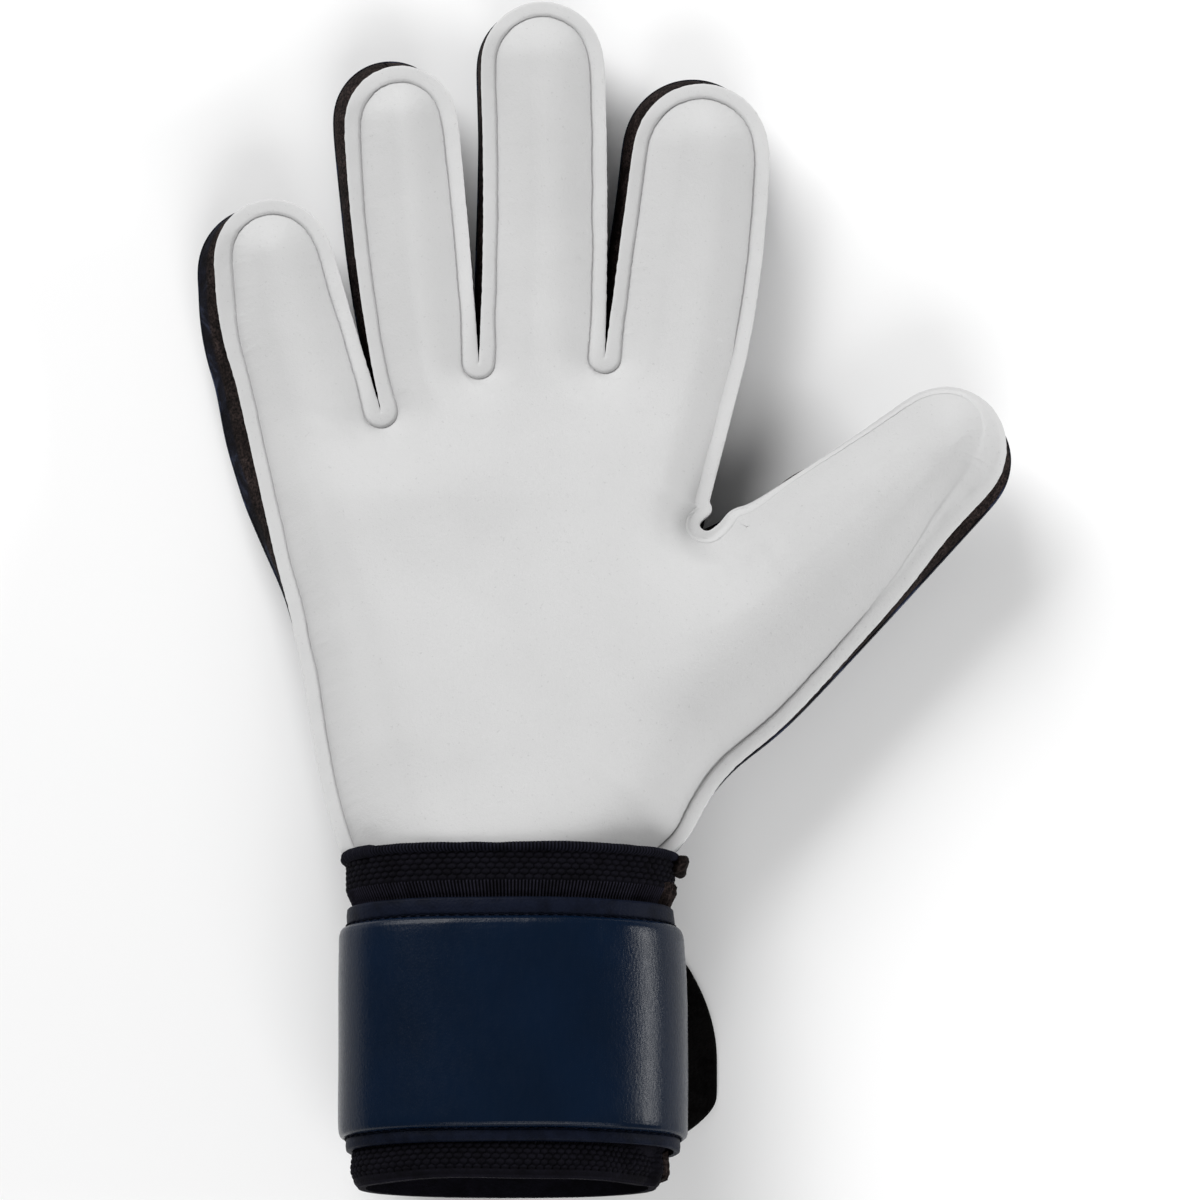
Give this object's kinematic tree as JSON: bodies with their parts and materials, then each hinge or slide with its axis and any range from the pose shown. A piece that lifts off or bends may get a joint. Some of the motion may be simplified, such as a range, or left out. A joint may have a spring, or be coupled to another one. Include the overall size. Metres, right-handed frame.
{
  "type": "goalkeeper glove",
  "caption": "Goalkeeper glove with a flat-cut foam palm, a backhand joined to it by cloth gussets, a knitted cuff and a padded wrist strap.",
  "frame": {"origin": "centre of the bounding box in plan, on the surface that the glove lies on", "axes": "+X towards the thumb, +Y towards the fingertips, +Z out of the palm"},
  "size_m": [0.1966, 0.2908, 0.0538],
  "materials": {
    "palm_latex": "matt foamed latex with fine pores",
    "backhand": "dark coated cloth over thin foam",
    "gusset_pinky_side": "black fine mesh cloth",
    "gusset_pinky_ring": "black fine mesh cloth",
    "gusset_ring_middle": "black fine mesh cloth",
    "gusset_middle_index": "black fine mesh cloth",
    "gusset_index_thumb": "black fine mesh cloth",
    "gusset_thumb_side": "black fine mesh cloth",
    "cuff_bandage": "black elastic knit, coarse and ribbed in bands",
    "cuff_binding": "black ribbed elastic tape",
    "wrist_strap": "navy coated synthetic leather over padding, fine lengthwise grain",
    "strap_tab": "black brushed hook-and-loop tape"
  },
  "bodies": {
    "root": {"palm_latex": "palm_latex", "backhand": "backhand", "gusset_pinky_side": "gusset_pinky_side", "gusset_pinky_ring": "gusset_pinky_ring", "gusset_ring_middle": "gusset_ring_middle", "gusset_middle_index": "gusset_middle_index", "gusset_index_thumb": "gusset_index_thumb", "gusset_thumb_side": "gusset_thumb_side", "cuff_bandage": "cuff_bandage", "cuff_binding": "cuff_binding", "wrist_strap": "wrist_strap", "strap_tab": "strap_tab"}
  },
  "joints": []
}
